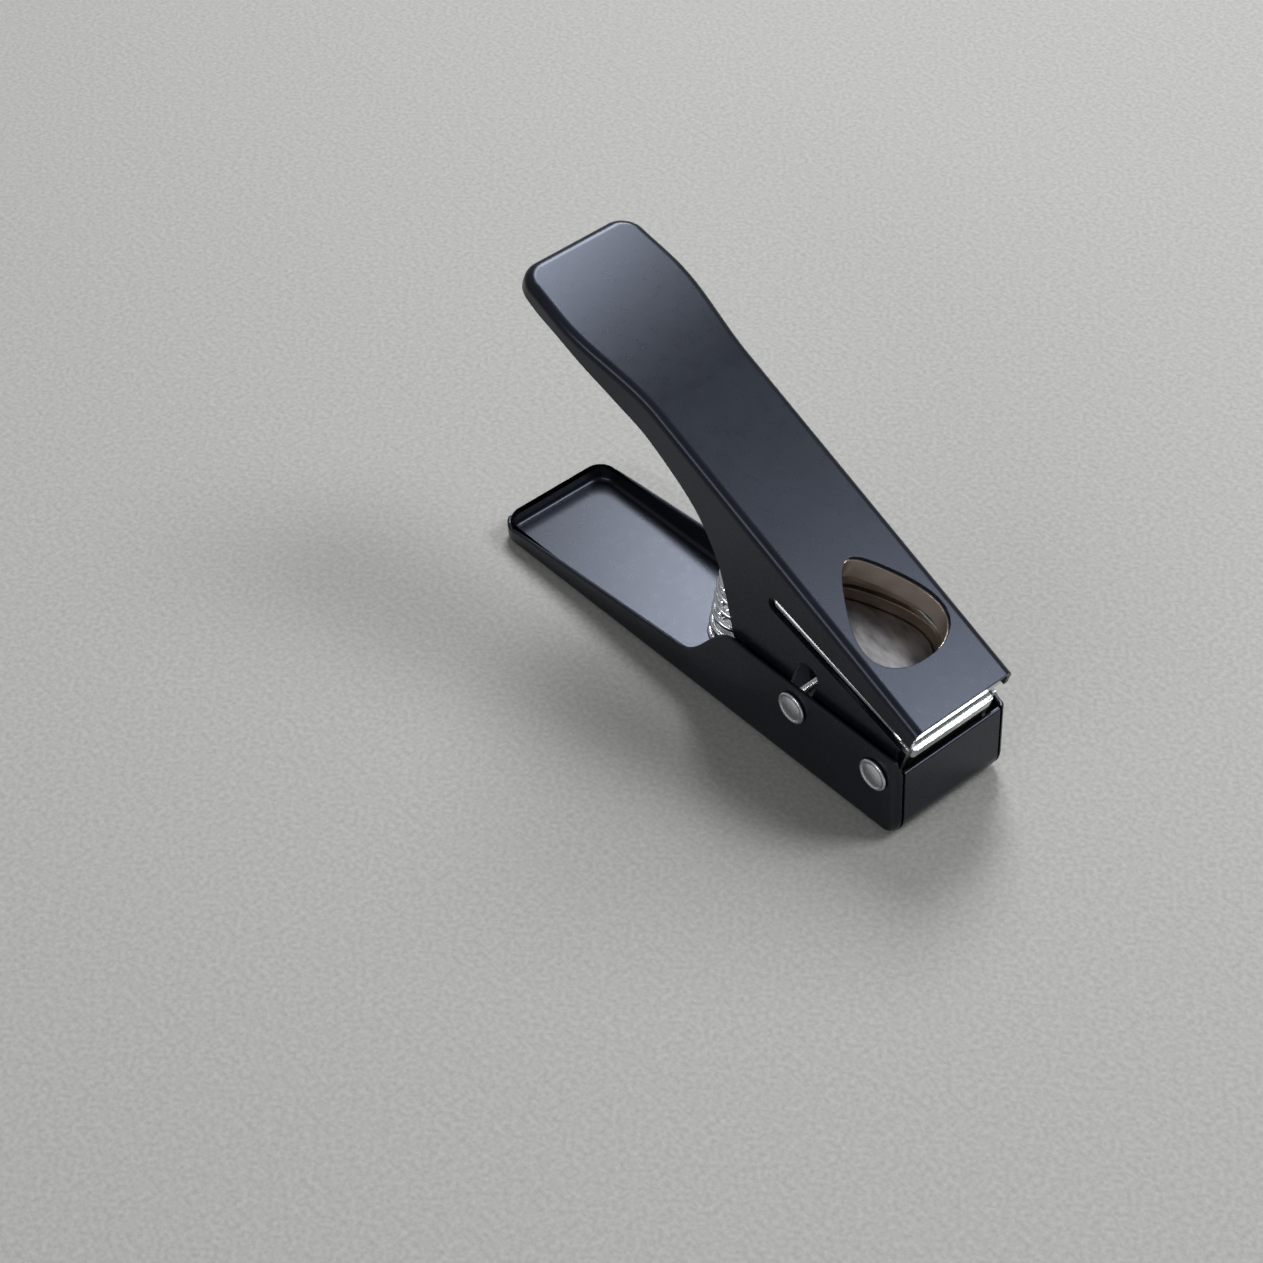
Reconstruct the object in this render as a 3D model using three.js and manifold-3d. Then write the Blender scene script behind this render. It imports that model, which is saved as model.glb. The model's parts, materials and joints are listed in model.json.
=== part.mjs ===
// Guitar pick punch: a hand lever that carries a pick-shaped die, hinged on a pressed steel base.
// Pushing the lever down drives the die set over a punch that a cross rivet in the base lifts.
// Millimetres, +Z up. The origin is the centre of the base's underside.
// +X runs to the die end, -Y is the near side and +Y the far side.
import * as THREE from "three";
import { mergeVertices } from "three/addons/utils/BufferGeometryUtils.js";
import Module from "manifold-3d";

// Sheet metal, shared by the base and the lever
const sheet = 1.2;
const bendRadius = 2.5;
const fitGap = 0.3;
const overrun = 5;

// Base
const baseLength = 148.8;
const baseWidth = 36;
const wallHeight = 26.2;
const crestRise = 0.3;
const crestLength = 8;
const endWallHeight = 22.2;
const trayLength = 71.9;
const trayEndHeight = 5.2;
const trayRimHeight = 10.6;
const stepLength = 19.5;
const trayCornerRadius = 6;
const frontCornerRadius = 2.1;
const frontBendRadius = 6.6;
const nearFallStart = 0.95;
const farFallStart = 6;
const farFallEnd = 2.4;
const seamOffset = 16;
const seamWidth = 0.8;
const seamFoot = 3;

// Cross rivets, measured from the base's front face and from the table
const pinRadius = 3;
const headRadius = 4.3;
const headRim = 0.45;
const headDome = 0.6;
const pivotSetback = 7.7;
const pivotHeight = 18.1;
const driveSetback = 35.5;
const driveHeight = 19.6;

// Lever, measured from the pivot and from the plate's front top edge
const leverDegrees = 25.34;
const travelDegrees = 23;
const noseSetback = 0.4;
const plateForward = 1.95;
const plateRise = 21.7;
const leverLength = 148;
const leverWidth = 31.84;
const paddleStart = 98;
const paddlePeak = 128;
const paddleEnd = 144;
const paddleGain = 2.95;
const paddleLoss = 0.95;
const paddleDroop = 5.2;
const paddleCornerRadius = 6.5;
const flangeDepth = 38;
const heelDepth = 38.5;
const heelFront = 25;
const heelRear = 45;
const earRadius = 4.7;
const flangeEdgeShares = [
  [1.01, 0.237],
  [0.939, 0.247],
  [0.865, 0.203],
  [0.777, 0.229],
  [0.716, 0.255],
  [0.642, 0.261],
  [0.561, 0.305],
  [0.507, 0.368],
  [0.459, 0.479],
  [0.426, 0.584],
  [0.387, 0.766],
  [0.345, 0.975],
];

// Slots in the lever's flanges
const stripSlotFront = 7.3;
const stripSlotRear = 12.7;
const stripSlotLength = 46.6;
const stripSlotFrontHeight = 3.4;
const stripSlotRearHeight = 4.4;
const arcSlotClearance = 0.5;

// Pick-shaped window, with its tip towards the handle
const windowSetback = 13.9;
const windowLength = 29.9;
const windowWidth = 25.1;
const pickRoundShares = [0.2268, 0.401, 1];

// Die set under the plate
const dieTiltDegrees = 7.6;
const gapDepth = 5.9;
const gapHeight = 1.8;
const dieFront = -0.4;
const dieRear = 55;
const dieInset = 0.2;
const grooveDepth = 8.3;
const grooveHeight = 1.2;
const grooveReach = 0.5;
const guideThickness = 3;
const guideChamfer = 1;
const lipReach = 1.6;
const lipNear = 14.2;
const lipFar = 11.8;
const lipLength = 4.5;
const lipCornerRadius = 1;
const skirtWall = 1.8;
const skirtDepth = 8;
const notchClearance = 0.6;
const earThickness = 1.3;
const earFront = 3.6;
const spacerFront = 48.4;
const dieScrewSetback = 52;
const dieScrewSpread = 9;

// Screws
const dieScrewRadius = 2;
const dieScrewHeadRadius = 2.8;
const dieScrewHeadHeight = 2;
const dieScrewGrip = 5;
const punchScrewRadius = 1.5;
const punchScrewHeadRadius = 2.6;
const punchScrewHeadHeight = 1.6;
const punchScrewGrip = 6;
const punchScrewFront = 21.5;
const punchScrewRear = 38.2;

// Punch
const punchDrop = 6;
const punchHeadHeight = 10.5;
const carrierInset = 0.3;
const carrierFoot = 5.6;
const driveDrift = 0.9;

// Return spring
const springFootSetback = 76.7;
const springTopSetback = 71;
const springMeanRadius = 6.2;
const wireRadius = 0.8;
const springTurns = 15;
const springStartTurns = 0.46;
const endPitch = 2.6;
const springBendDegrees = 1.5;
const springTiltPower = 0.6;
const studRadius = 4.9;
const studHeight = 3;

// Facet counts
const roundSides = 24;
const bendSteps = 4;
const cornerSteps = 5;
const curveSteps = 6;
const stepSteps = 12;
const paddleSteps = 12;
const pickSteps = 72;
const domeSteps = 4;
const coilSteps = 16;
const wireSides = 5;

// Places worked out from the sizes above
const radians = Math.PI / 180;
const quarterTurn = Math.PI / 2;
const baseFront = baseLength / 2;
const baseHalf = baseWidth / 2;
const leverHalf = leverWidth / 2;
const leverAngle = leverDegrees * radians;
const travel = travelDegrees * radians;
const dieTilt = dieTiltDegrees * radians;
const pivot = new THREE.Vector2(baseFront - pivotSetback, pivotHeight);
const drive = new THREE.Vector2(baseFront - driveSetback, driveHeight);
const driveArm = pivot.distanceTo(drive);
const driveAngle = Math.atan2(drive.y - pivot.y, drive.x - pivot.x) + leverAngle;
const holeRadius = pinRadius + fitGap;
const flangeInside = leverHalf - sheet;
const dieHalf = flangeInside - fitGap;
const gapFloor = -gapHeight;
const guideUnderside = gapFloor - guideThickness;
const pivotInDie = toDieFrame(0, 0);
const driveInDie = toDieFrame(driveArm * Math.cos(driveAngle), driveArm * Math.sin(driveAngle));
const punchFoot = -punchDrop - punchHeadHeight;
const carrierTop = punchFoot - fitGap;
const carrierBottom = driveInDie.y - carrierFoot;

const wasm = await Module();
wasm.setup();

// Lever frame: origin on the pivot, X forward along the plate, Z square to it.
function leverX(behind) {
  return plateForward - behind;
}

function leverZ(below) {
  return plateRise - below;
}

// A point of the lever frame in the frame of the die set, whose X and Y here are its X and Z.
function toDieFrame(x, z) {
  const dx = x - plateForward;
  const dz = z - plateRise + gapDepth;
  return new THREE.Vector2(
    dx * Math.cos(dieTilt) + dz * Math.sin(dieTilt),
    dz * Math.cos(dieTilt) - dx * Math.sin(dieTilt),
  );
}

// A point of the lever frame in the part's frame, as X and Z.
function toPartFrame(x, z) {
  return new THREE.Vector2(
    pivot.x + x * Math.cos(leverAngle) + z * Math.sin(leverAngle),
    pivot.y - x * Math.sin(leverAngle) + z * Math.cos(leverAngle),
  );
}

// A closed geometry as a solid that can be joined and cut, with its faces turned outwards.
function solid(geometry) {
  const bare = geometry.clone();
  bare.deleteAttribute("normal");
  bare.deleteAttribute("uv");
  const merged = mergeVertices(bare);
  const points = merged.attributes.position.array;
  const corners = new Uint32Array(merged.index.array);
  if (signedVolume(points, corners) < 0) {
    corners.reverse();
  }
  return new wasm.Manifold(new wasm.Mesh({ numProp: 3, vertProperties: points, triVerts: corners }));
}

function signedVolume(points, corners) {
  let sum = 0;
  for (let i = 0; i < corners.length; i += 3) {
    const [a, b, c] = [0, 1, 2].map((k) => new THREE.Vector3().fromArray(points, corners[i + k] * 3));
    sum += a.dot(b.cross(c)) / 6;
  }
  return sum;
}

function toGeometry(body) {
  const mesh = body.getMesh();
  const geometry = new THREE.BufferGeometry();
  geometry.setAttribute("position", new THREE.BufferAttribute(mesh.vertProperties, 3));
  geometry.setIndex(new THREE.BufferAttribute(mesh.triVerts, 1));
  geometry.computeVertexNormals();
  return geometry;
}

// A profile drawn in X and Z, run along Y between two places.
function across(shape, from, to) {
  const options = { depth: to - from, bevelEnabled: false, curveSegments: curveSteps };
  const geometry = new THREE.ExtrudeGeometry(shape, options);
  geometry.rotateX(quarterTurn);
  geometry.translate(0, to, 0);
  return solid(geometry);
}

// A plan outline drawn in X and Y, run upwards between two heights.
function upward(shape, bottom, top) {
  const options = { depth: top - bottom, bevelEnabled: false, curveSegments: cornerSteps };
  const geometry = new THREE.ExtrudeGeometry(shape, options);
  geometry.translate(0, 0, bottom);
  return solid(geometry);
}

function box(fromX, toX, fromY, toY, fromZ, toZ) {
  const geometry = new THREE.BoxGeometry(toX - fromX, toY - fromY, toZ - fromZ);
  geometry.translate((fromX + toX) / 2, (fromY + toY) / 2, (fromZ + toZ) / 2);
  return solid(geometry);
}

// A round bar along Y.
function crossBar(x, z, radius, halfLength) {
  const geometry = new THREE.CylinderGeometry(radius, radius, halfLength * 2, roundSides);
  geometry.translate(x, 0, z);
  return solid(geometry);
}

// A round bar along Z.
function uprightBar(x, y, radius, bottom, top) {
  const geometry = new THREE.CylinderGeometry(radius, radius, top - bottom, roundSides);
  geometry.rotateX(quarterTurn);
  geometry.translate(x, y, (bottom + top) / 2);
  return solid(geometry);
}

// A closed solid through rings of points. The first half of each ring runs from front to rear on
// one side, the second half runs back on the other, so strips between mirrored points cap it.
function ringSolid(rings) {
  const count = rings[0].length;
  const points = rings.flat(2);
  const faces = [];
  for (let r = 0; r + 1 < rings.length; r += 1) {
    for (let i = 0; i < count; i += 1) {
      const next = (i + 1) % count;
      const low = r * count;
      const high = low + count;
      faces.push(low + i, low + next, high + next, low + i, high + next, high + i);
    }
  }
  const lastRing = (rings.length - 1) * count;
  for (let i = 0; i < count / 2 - 1; i += 1) {
    const mirror = count - 1 - i;
    faces.push(i, mirror, mirror - 1, i, mirror - 1, i + 1);
    faces.push(lastRing + i, lastRing + mirror - 1, lastRing + mirror);
    faces.push(lastRing + i, lastRing + i + 1, lastRing + mirror - 1);
  }
  const geometry = new THREE.BufferGeometry();
  geometry.setAttribute("position", new THREE.BufferAttribute(new Float32Array(points), 3));
  geometry.setIndex(faces);
  return solid(geometry);
}

// One side of a plan and its mirror image as a closed ring, each point raised by heightAt.
function mirroredRing(side, heightAt) {
  const near = side.map(([x, y]) => [x, -y, heightAt(x)]);
  const far = side.map(([x, y]) => [x, y, heightAt(x)]).reverse();
  return near.concat(far);
}

function cornerArc(centreX, centreY, radius, startAngle) {
  const points = [];
  for (let k = 0; k <= cornerSteps; k += 1) {
    const angle = startAngle + (quarterTurn * k) / cornerSteps;
    points.push([centreX + radius * Math.cos(angle), centreY + radius * Math.sin(angle)]);
  }
  return points;
}

// Inset and drop of each ring round a bend, from the flat face to the wall.
function bendRings(radius) {
  const rings = [];
  for (let k = 0; k <= bendSteps; k += 1) {
    const angle = (quarterTurn * k) / bendSteps;
    rings.push([radius * (1 - Math.sin(angle)), radius * (1 - Math.cos(angle))]);
  }
  return rings;
}

// Base

// How far a bend at the floor stands inside its wall at a height above the table.
function bendInset(radius, height) {
  const below = Math.max(radius - height, 0);
  return radius - Math.sqrt(radius ** 2 - below ** 2);
}

// One side of the pan's plan at a height. The bend at the front is wider than the one all round.
function baseSide(inset, height) {
  const ahead = bendInset(frontBendRadius - inset, height - inset);
  const aside = bendInset(bendRadius - inset, height - inset);
  const frontX = baseFront - frontCornerRadius - ahead;
  const frontY = baseHalf - frontCornerRadius - aside;
  const front = cornerArc(frontX, frontY, frontCornerRadius - inset, 0);
  const rearRadius = trayCornerRadius - inset - aside;
  const rear = cornerArc(trayCornerRadius - baseFront, baseHalf - trayCornerRadius, rearRadius, quarterTurn);
  return front.concat(rear);
}

function basePan(inset, top) {
  const bends = [frontBendRadius, bendRadius];
  const rises = bends.flatMap((radius) => bendRings(radius - inset).map((ring) => ring[1]));
  const heights = [...new Set(rises)].sort((a, b) => a - b).map((rise) => inset + rise);
  return ringSolid([...heights, top].map((height) => mirroredRing(baseSide(inset, height), () => height)));
}

// Side view of the walls: a rising tray rim, an S-shaped step and the tall walls at the hinge.
function baseProfile() {
  const tall = wallHeight + crestRise;
  const stepStart = trayLength - baseFront;
  const step = new THREE.CubicBezierCurve(
    new THREE.Vector2(stepStart, trayRimHeight),
    new THREE.Vector2(stepStart + stepLength / 3, trayRimHeight),
    new THREE.Vector2(stepStart + (stepLength * 2) / 3, tall),
    new THREE.Vector2(stepStart + stepLength, tall),
  );
  const shape = new THREE.Shape();
  shape.moveTo(-baseFront - overrun, -overrun);
  shape.lineTo(-baseFront - overrun, trayEndHeight);
  shape.lineTo(-baseFront, trayEndHeight);
  for (const point of step.getPoints(stepSteps)) {
    shape.lineTo(point.x, point.y);
  }
  shape.lineTo(stepStart + stepLength + crestLength, wallHeight);
  shape.lineTo(baseFront + overrun, wallHeight);
  shape.lineTo(baseFront + overrun, -overrun);
  return shape;
}

// What is cut off above a side wall's front corner, where its top falls to the end wall's height.
function wallFall(start, end) {
  const shape = new THREE.Shape();
  shape.moveTo(baseFront - start, wallHeight);
  shape.lineTo(baseFront - end, endWallHeight);
  shape.lineTo(baseFront + overrun, endWallHeight);
  shape.lineTo(baseFront + overrun, wallHeight + overrun);
  shape.lineTo(baseFront - start, wallHeight + overrun);
  return shape;
}

function baseShell() {
  const innerTop = wallHeight + overrun;
  let shell = basePan(0, innerTop).subtract(basePan(sheet, innerTop + overrun));
  shell = shell.intersect(across(baseProfile(), -baseWidth, baseWidth));
  const cutBack = baseFront - frontBendRadius;
  const cutFront = baseFront + overrun;
  const seamInside = seamOffset - seamWidth / 2;
  const seamOutside = seamOffset + seamWidth / 2;
  shell = shell.subtract(box(cutBack, cutFront, -seamOutside, seamOutside, endWallHeight, innerTop));
  shell = shell.subtract(box(cutBack, cutFront, -seamOutside, -seamInside, seamFoot, innerTop));
  shell = shell.subtract(box(cutBack, cutFront, seamInside, seamOutside, seamFoot, innerTop));
  shell = shell.subtract(across(wallFall(nearFallStart, 0), -baseWidth, 0));
  shell = shell.subtract(across(wallFall(farFallStart, farFallEnd), 0, baseWidth));
  shell = shell.subtract(crossBar(pivot.x, pivot.y, holeRadius, baseWidth));
  shell = shell.subtract(crossBar(drive.x, drive.y, holeRadius, baseWidth));
  return toGeometry(shell);
}

// A cross rivet: a round shank through both walls and a low domed head outside each wall.
function rivet() {
  const seat = baseHalf + fitGap;
  const half = [[pinRadius, seat], [headRadius, seat], [headRadius, seat + headRim]];
  for (let k = 1; k <= domeSteps; k += 1) {
    const angle = (quarterTurn * k) / domeSteps;
    const radius = k < domeSteps ? headRadius * Math.cos(angle) : 0;
    half.push([radius, seat + headRim + headDome * Math.sin(angle)]);
  }
  const mirrored = half.map(([radius, y]) => [radius, -y]).reverse();
  const profile = mirrored.concat(half).map(([radius, y]) => new THREE.Vector2(radius, y));
  return toGeometry(solid(new THREE.LatheGeometry(profile, roundSides)));
}

// Locating stud for an end of the return spring.
function stud() {
  return toGeometry(uprightBar(0, 0, studRadius, 0, studHeight));
}

// Lever

function smooth(value, from, to) {
  return THREE.MathUtils.smoothstep(value, from, to);
}

function paddleWidening(behind) {
  const gain = paddleGain * smooth(behind, paddleStart, paddlePeak);
  return gain - paddleLoss * smooth(behind, paddlePeak, paddleEnd);
}

function paddleDrop(behind) {
  const bendPower = 1.4;
  const share = Math.max(0, (behind - paddleStart) / (leverLength - paddleStart));
  return paddleDroop * share ** bendPower;
}

function leverSide(inset) {
  const side = [[leverX(-overrun), leverHalf - inset]];
  const cornerStart = leverLength - paddleCornerRadius;
  for (let k = 0; k < paddleSteps; k += 1) {
    const behind = paddleStart + ((cornerStart - paddleStart) * k) / paddleSteps;
    side.push([leverX(behind), leverHalf + paddleWidening(behind) - inset]);
  }
  const cornerY = leverHalf + paddleWidening(cornerStart) - paddleCornerRadius;
  return side.concat(cornerArc(leverX(cornerStart), cornerY, paddleCornerRadius - inset, quarterTurn));
}

// The lever's outer or inner form: a plan with a bend all round its top that follows the droop.
function leverForm(inset, radius, bottom) {
  const topAt = (x) => plateRise - inset - paddleDrop(plateForward - x);
  const ringAt = ([extra, drop]) => mirroredRing(leverSide(inset + extra), (x) => topAt(x) - drop);
  const rings = bendRings(radius).map(ringAt);
  rings.push(mirroredRing(leverSide(inset), () => bottom));
  return ringSolid(rings);
}

// Side view of the flanges: front edge, ear round the pivot, heel and the long rear edge.
function leverProfile() {
  const slotTilt = stripSlotTilt();
  const earTop = new THREE.Vector2(earRadius * Math.cos(leverAngle), earRadius * Math.sin(leverAngle));
  const frontEdge = new THREE.Vector2(Math.sin(slotTilt), Math.cos(slotTilt));
  const upright = new THREE.Vector2(-Math.sin(leverAngle), Math.cos(leverAngle));
  const knee = meeting(new THREE.Vector2(plateForward, plateRise), frontEdge, earTop, upright);
  const heel = new THREE.Vector2(leverX(heelFront), leverZ(heelDepth));
  const tangent = Math.atan2(-heel.y, -heel.x) - Math.asin(earRadius / heel.length()) - quarterTurn;
  const edgePoint = ([x, z]) => new THREE.Vector2(leverX(x * leverLength), leverZ(z * flangeDepth));
  const edge = flangeEdgeShares.map(edgePoint);
  const shape = new THREE.Shape();
  shape.moveTo(edge[0].x, plateRise + overrun);
  shape.lineTo(edge[0].x, edge[0].y);
  shape.splineThru(edge.slice(1));
  shape.lineTo(leverX(heelRear), heel.y);
  shape.lineTo(heel.x, heel.y);
  shape.lineTo(earRadius * Math.cos(tangent), earRadius * Math.sin(tangent));
  shape.absarc(0, 0, earRadius, tangent, leverAngle, false);
  shape.lineTo(knee.x, knee.y);
  const mouth = new THREE.Vector2(plateForward, plateRise).addScaledVector(frontEdge, -stripSlotFront);
  const nose = plateForward - noseSetback;
  shape.lineTo(mouth.x, mouth.y);
  shape.lineTo(nose + (plateRise - mouth.y) * Math.tan(dieTilt), mouth.y);
  shape.lineTo(nose, plateRise);
  shape.lineTo(nose, plateRise + overrun);
  return shape;
}

// Where the line from p along d meets the line from q along e.
function meeting(p, d, q, e) {
  const share = q.clone().sub(p).cross(e) / d.cross(e);
  return p.clone().addScaledVector(d, share);
}

function stripSlotTilt() {
  return Math.atan2(stripSlotRear - stripSlotFront, stripSlotLength);
}

// Slot through both flanges for the plastic strip, open at the front and round at the rear.
function stripSlot() {
  const front = stripSlotFrontHeight / 2;
  const rear = stripSlotRearHeight / 2;
  const shape = new THREE.Shape();
  shape.moveTo(overrun, front);
  shape.lineTo(-stripSlotLength, rear);
  shape.absarc(-stripSlotLength, 0, rear, quarterTurn, quarterTurn * 3, false);
  shape.lineTo(overrun, -front);
  const slot = across(shape, -leverWidth, leverWidth);
  const tilted = slot.rotate([0, -stripSlotTilt() / radians, 0]);
  return tilted.translate([plateForward, 0, leverZ(stripSlotFront)]);
}

// Curved slot round the pivot that lets the flanges pass the drive rivet.
function arcSlot() {
  const half = pinRadius + arcSlotClearance;
  const stopShift = (arcSlotClearance - fitGap) / driveArm;
  const start = driveAngle - stopShift;
  const end = driveAngle - travel - stopShift / 2;
  const shape = new THREE.Shape();
  shape.absarc(0, 0, driveArm + half, end, start, false);
  const [startX, startZ] = [driveArm * Math.cos(start), driveArm * Math.sin(start)];
  const [endX, endZ] = [driveArm * Math.cos(end), driveArm * Math.sin(end)];
  shape.absarc(startX, startZ, half, start, start + Math.PI, false);
  shape.absarc(0, 0, driveArm - half, start, end, true);
  shape.absarc(endX, endZ, half, end + Math.PI, end + Math.PI * 2, false);
  return across(shape, -leverWidth, leverWidth);
}

// Pick outline with its tip to the rear, grown or shrunk by an offset along its normals.
function pickOutline(front, length, width, offset) {
  const [first, second, third] = pickRoundShares;
  const bulge = (u) => Math.sqrt(u * (1 - u) * (first + second * u + third * u * u));
  const half = [];
  for (let k = 0; k <= pickSteps / 2; k += 1) {
    const u = (1 - Math.cos((Math.PI * k * 2) / pickSteps)) / 2;
    half.push([u, bulge(u)]);
  }
  const peak = Math.max(...half.map(([, height]) => height));
  const scaled = half.map(([u, height]) => [front - length * (1 - u), ((width / 2) * height) / peak]);
  const lower = scaled.slice(1, -1).map(([x, y]) => [x, -y]).reverse();
  const loop = scaled.concat(lower);
  const moved = loop.map(([x, y], i) => {
    const before = loop[(i + loop.length - 1) % loop.length];
    const after = loop[(i + 1) % loop.length];
    const along = new THREE.Vector2(after[0] - before[0], after[1] - before[1]).normalize();
    return new THREE.Vector2(x - along.y * offset, y + along.x * offset);
  });
  return new THREE.Shape(moved);
}

function leverShell() {
  const bottom = leverZ(heelDepth + overrun);
  let shell = leverForm(0, bendRadius, bottom);
  shell = shell.subtract(leverForm(sheet, bendRadius - sheet, bottom - overrun));
  shell = shell.intersect(across(leverProfile(), -leverWidth, leverWidth));
  shell = shell.subtract(stripSlot()).subtract(arcSlot());
  shell = shell.subtract(crossBar(0, 0, holeRadius, leverWidth));
  const pick = pickOutline(leverX(windowSetback), windowLength, windowWidth, 0);
  return toGeometry(shell.subtract(upward(pick, leverZ(sheet * 2), leverZ(-overrun))));
}

// Die set, in its own frame: X and Y run along the strip gap, and Z = 0 is the gap's ceiling.

function bore(offset, bottom, top) {
  const front = toDieFrame(leverX(windowSetback), leverZ(sheet / 2)).x;
  return upward(pickOutline(front, windowLength, windowWidth, offset), bottom, top);
}

function dieScrewPlaces() {
  return [-dieScrewSpread, dieScrewSpread].map((y) => [-dieScrewSetback, y]);
}

// A solid of the lever frame moved into the frame of the die set.
function inDieFrame(body) {
  return body.translate([-plateForward, 0, -leverZ(gapDepth)]).rotate([0, dieTiltDegrees, 0]);
}

// Shallow groove round the wall of the bore, level with the plate.
function boreGroove() {
  const [rear, front] = [leverX(windowSetback + windowLength + overrun), leverX(windowSetback - overrun)];
  const [bottom, top] = [leverZ(grooveDepth + grooveHeight), leverZ(grooveDepth)];
  const level = inDieFrame(box(rear, front, -leverWidth, leverWidth, bottom, top));
  return level.intersect(bore(grooveReach - dieInset, -overrun, plateRise));
}

// Wedge between the lever's plate and the strip gap, with the cutting edge round its bore.
function upperDie() {
  const inset = sheet + fitGap;
  let die = box(-dieRear, dieFront, -dieHalf, dieHalf, 0, plateRise);
  die = die.intersect(inDieFrame(leverForm(inset, bendRadius - inset, -plateRise)));
  die = die.subtract(bore(-dieInset, -overrun, plateRise)).subtract(boreGroove());
  for (const [x, y] of dieScrewPlaces()) {
    die = die.subtract(uprightBar(x, y, dieScrewRadius + fitGap, -overrun, dieScrewGrip + fitGap));
  }
  return toGeometry(die);
}

// Shim bar that sets the gap behind the window.
function gapSpacer() {
  let bar = box(-dieRear, -spacerFront, -dieHalf, dieHalf, gapFloor + fitGap, -fitGap);
  for (const [x, y] of dieScrewPlaces()) {
    bar = bar.subtract(uprightBar(x, y, dieScrewRadius + fitGap, gapFloor, overrun));
  }
  return toGeometry(bar);
}

// Plan of the guide's plate: full width behind, and in front a lip that stops short on the far side.
function guidePlan() {
  const tip = dieFront + lipReach;
  const root = tip - lipLength;
  const shape = new THREE.Shape();
  shape.moveTo(-dieRear, -dieHalf);
  shape.lineTo(root, -dieHalf);
  shape.lineTo(root, -lipNear);
  shape.lineTo(tip - lipCornerRadius, -lipNear);
  shape.absarc(tip - lipCornerRadius, lipCornerRadius - lipNear, lipCornerRadius, -quarterTurn, 0, false);
  shape.absarc(tip - lipCornerRadius, lipFar - lipCornerRadius, lipCornerRadius, 0, quarterTurn, false);
  shape.lineTo(root, lipFar);
  shape.lineTo(root, dieHalf);
  shape.lineTo(-dieRear, dieHalf);
  return shape;
}

// Side view of an ear that hangs from the guide's plate on the pivot rivet.
function guideEar() {
  const shape = new THREE.Shape();
  shape.moveTo(pivotInDie.x - earRadius, guideUnderside + guideThickness / 2);
  shape.lineTo(pivotInDie.x - earRadius, pivotInDie.y);
  shape.absarc(pivotInDie.x, pivotInDie.y, earRadius, Math.PI, Math.PI * 2, false);
  shape.lineTo(pivotInDie.x + earFront, pivotInDie.y + earRadius / 2);
  shape.lineTo(pivotInDie.x + earFront, guideUnderside + guideThickness / 2);
  return shape;
}

// Wedges that bevel the long top edges of the guide's plate, behind its lip.
function guideBevels() {
  const half = guideChamfer / Math.SQRT2;
  const rear = -dieRear - overrun;
  const front = dieFront + lipReach - lipLength;
  const bar = box(rear, front, -half, half, -half, half).rotate([45, 0, 0]);
  return bar.translate([0, -dieHalf, gapFloor]).add(bar.translate([0, dieHalf, gapFloor]));
}

// Guide under the gap: a plate, a skirt that guides the punch and two ears on the pivot rivet.
function guideBracket() {
  const skirtBottom = guideUnderside - skirtDepth;
  let guide = upward(guidePlan(), guideUnderside, gapFloor).subtract(guideBevels());
  guide = guide.add(bore(skirtWall, skirtBottom, guideUnderside + guideThickness / 2));
  guide = guide.add(across(guideEar(), -dieHalf, earThickness - dieHalf));
  guide = guide.add(across(guideEar(), dieHalf - earThickness, dieHalf));
  guide = guide.subtract(bore(-dieInset, skirtBottom - overrun, overrun));
  const notchHalf = pinRadius + notchClearance;
  const notchRear = driveInDie.x - driveDrift - notchHalf;
  const notchFront = driveInDie.x + notchHalf;
  const notchBottom = skirtBottom - overrun;
  const notchTop = driveInDie.y + driveArm * travel + notchHalf;
  guide = guide.subtract(box(notchRear, notchFront, -leverWidth, leverWidth, notchBottom, notchTop));
  guide = guide.subtract(crossBar(pivotInDie.x, pivotInDie.y, holeRadius, leverWidth));
  for (const [x, y] of dieScrewPlaces()) {
    guide = guide.subtract(uprightBar(x, y, dieScrewRadius + fitGap, guideUnderside - overrun, overrun));
  }
  return toGeometry(guide);
}

// A screw along Z with its head's underside at zero: a shank upwards and a round head below.
function screw(shankRadius, shankLength, screwHeadRadius, screwHeadHeight) {
  const shank = uprightBar(0, 0, shankRadius, -screwHeadHeight / 2, shankLength);
  return toGeometry(shank.add(uprightBar(0, 0, screwHeadRadius, -screwHeadHeight, 0)));
}

// Tube on the pivot rivet that holds the guide's ears apart.
function pivotSleeve() {
  const halfLength = dieHalf - earThickness - fitGap;
  const tube = crossBar(0, 0, earRadius - fitGap, halfLength);
  return toGeometry(tube.subtract(crossBar(0, 0, holeRadius, halfLength + overrun)));
}

// Punch

function punchScrewPlaces() {
  return [-punchScrewFront, -punchScrewRear];
}

function punchHead() {
  let head = bore(-dieInset - fitGap, punchFoot, -punchDrop);
  const holeTop = punchFoot + punchScrewGrip + fitGap;
  for (const x of punchScrewPlaces()) {
    head = head.subtract(uprightBar(x, 0, punchScrewRadius + fitGap, punchFoot - overrun, holeTop));
  }
  return toGeometry(head);
}

// Carrier under the punch, with the cross slot that rides on the drive rivet.
function punchCarrier() {
  let carrier = bore(-dieInset - fitGap - carrierInset, carrierBottom, carrierTop);
  const slot = new THREE.Shape();
  slot.absarc(driveInDie.x - driveDrift, driveInDie.y, holeRadius, quarterTurn, quarterTurn * 3, false);
  slot.absarc(driveInDie.x, driveInDie.y, holeRadius, -quarterTurn, quarterTurn, false);
  carrier = carrier.subtract(across(slot, -leverWidth, leverWidth));
  for (const x of punchScrewPlaces()) {
    carrier = carrier.subtract(uprightBar(x, 0, punchScrewRadius + fitGap, carrierBottom - overrun, overrun));
  }
  return toGeometry(carrier);
}

// Return spring

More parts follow.
